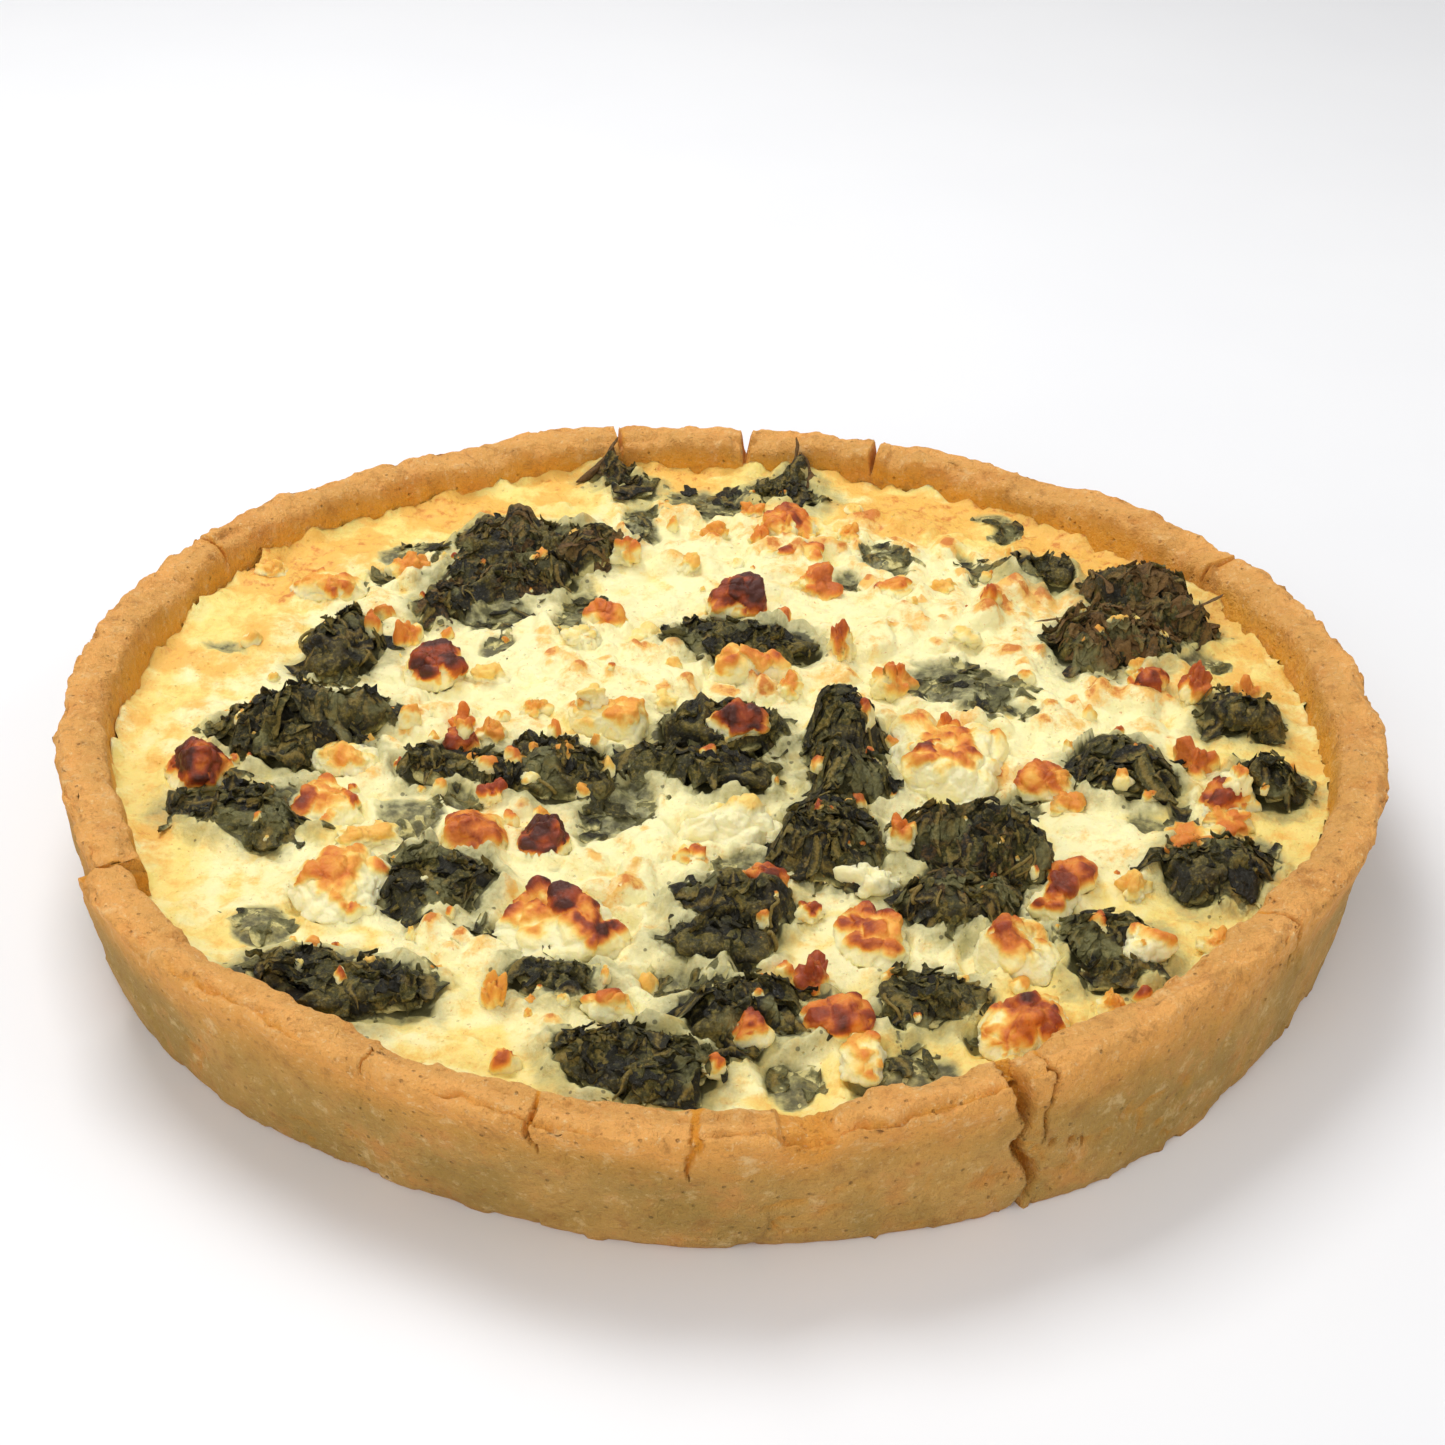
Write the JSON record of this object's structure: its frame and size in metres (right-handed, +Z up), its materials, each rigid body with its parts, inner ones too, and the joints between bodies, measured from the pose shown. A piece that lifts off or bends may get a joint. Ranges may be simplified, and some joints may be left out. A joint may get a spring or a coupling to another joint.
{
  "type": "spinach and feta quiche",
  "caption": "Whole round savoury quiche: a shortcrust case with an upright cracked rim, set egg filling, dark spinach clumps and browned feta lumps on top.",
  "frame": {"origin": "middle of the flat underside of the pastry case", "axes": "+Z up, -Y towards the front, where the rim has its crumbled notch"},
  "size_m": [0.2619, 0.2619, 0.0368],
  "materials": {
    "crust": "baked shortcrust pastry, dry and finely crumbly, golden beige with a browner rim",
    "filling": "set egg and cream filling, pale cream to yellow with light brown spots, soft satin",
    "spinach": "cooked chopped spinach, near black green with olive veins, some of it dried brown",
    "feta": "baked crumbly feta, cream below, orange to dark brown on top"
  },
  "bodies": {
    "root": {"crust": "crust", "feta_back_big": "feta", "feta_back_pair": "feta", "feta_back_point": "feta", "feta_back_right": "feta", "feta_band_red": "feta", "feta_centre_back": "feta", "feta_centre_left": "feta", "feta_clump_top": "feta", "feta_cream_front": "feta", "feta_cream_heap": "feta", "feta_front_dark": "feta", "feta_front_long": "feta", "feta_front_pair": "feta", "feta_front_right": "feta", "feta_front_small": "feta", "feta_largest": "feta", "feta_left_back": "feta", "feta_left_brown": "feta", "feta_left_front": "feta", "feta_left_mid": "feta", "feta_left_ridge": "feta", "feta_left_wall": "feta", "feta_mid_brown": "feta", "feta_mid_left": "feta", "feta_mid_red": "feta", "feta_mid_right": "feta", "feta_right_big": "feta", "feta_right_clump": "feta", "feta_right_orange": "feta", "feta_right_pair": "feta", "feta_right_red": "feta", "feta_right_wall": "feta", "feta_tall": "feta", "filling": "filling", "spinach_back": "spinach", "spinach_back_left": "spinach", "spinach_back_right": "spinach", "spinach_back_wall": "spinach", "spinach_band": "spinach", "spinach_centre": "spinach", "spinach_centre_back": "spinach", "spinach_dried": "spinach", "spinach_front": "spinach", "spinach_front_left": "spinach", "spinach_front_mid": "spinach", "spinach_front_right": "spinach", "spinach_front_small": "spinach", "spinach_front_stems": "spinach", "spinach_left": "spinach", "spinach_left_low": "spinach", "spinach_left_tall": "spinach", "spinach_mid_front": "spinach", "spinach_mid_left": "spinach", "spinach_right_front": "spinach", "spinach_right_low": "spinach", "spinach_right_mid": "spinach", "spinach_right_wall": "spinach", "spinach_right_wall_low": "spinach", "spinach_tall": "spinach"}
  },
  "joints": []
}
